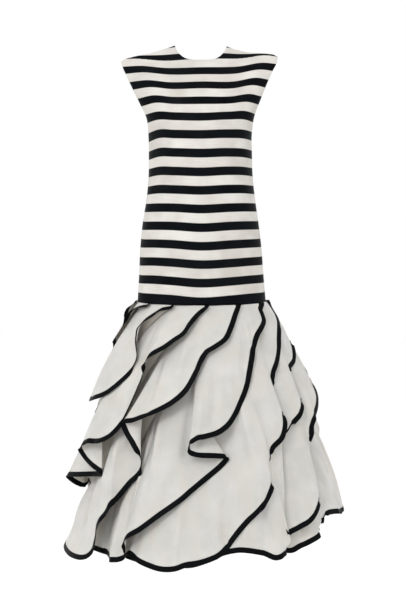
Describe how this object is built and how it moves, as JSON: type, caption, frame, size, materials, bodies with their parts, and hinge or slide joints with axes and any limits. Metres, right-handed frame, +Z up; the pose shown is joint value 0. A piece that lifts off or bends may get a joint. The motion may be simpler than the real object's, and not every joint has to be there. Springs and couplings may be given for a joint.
{
  "type": "gown with a striped straight bodice and a skirt of spiral flounces",
  "caption": "Hollow worn gown: round neck, pointed shoulders and armholes, straight dropped-waist bodice, skirt of spiral flounces with dark bound edges.",
  "frame": {"origin": "midway between the two shoulder points at the neck, where the wearer holds the gown up", "axes": "+Z up along the gown, -Y out of the gown's front, +X to the viewer's right as seen from the front"},
  "size_m": [0.77, 0.732, 1.3582],
  "materials": {
    "striped_satin": "satin with woven horizontal stripes, blue-black and warm ivory",
    "ivory_organza": "crisp, slightly sheer organza with a soft sheen",
    "black_binding": "matt black bias binding",
    "plain_ivory": "plain matt ivory cloth"
  },
  "bodies": {
    "root": {"bodice_front": "striped_satin", "bodice_back_left": "striped_satin", "bodice_back_right": "striped_satin", "skirt_foundation": "plain_ivory", "flounce_01": "ivory_organza", "flounce_02": "ivory_organza", "flounce_03": "ivory_organza", "flounce_04": "ivory_organza", "flounce_05": "ivory_organza", "flounce_06": "ivory_organza", "flounce_07": "ivory_organza", "flounce_08": "ivory_organza", "flounce_09": "ivory_organza", "flounce_10": "ivory_organza", "flounce_11": "ivory_organza", "flounce_12": "ivory_organza", "binding_01": "black_binding", "binding_02": "black_binding", "binding_03": "black_binding", "binding_04": "black_binding", "binding_05": "black_binding", "binding_06": "black_binding", "binding_07": "black_binding", "binding_08": "black_binding", "binding_09": "black_binding", "binding_10": "black_binding", "binding_11": "black_binding", "binding_12": "black_binding"}
  },
  "joints": []
}
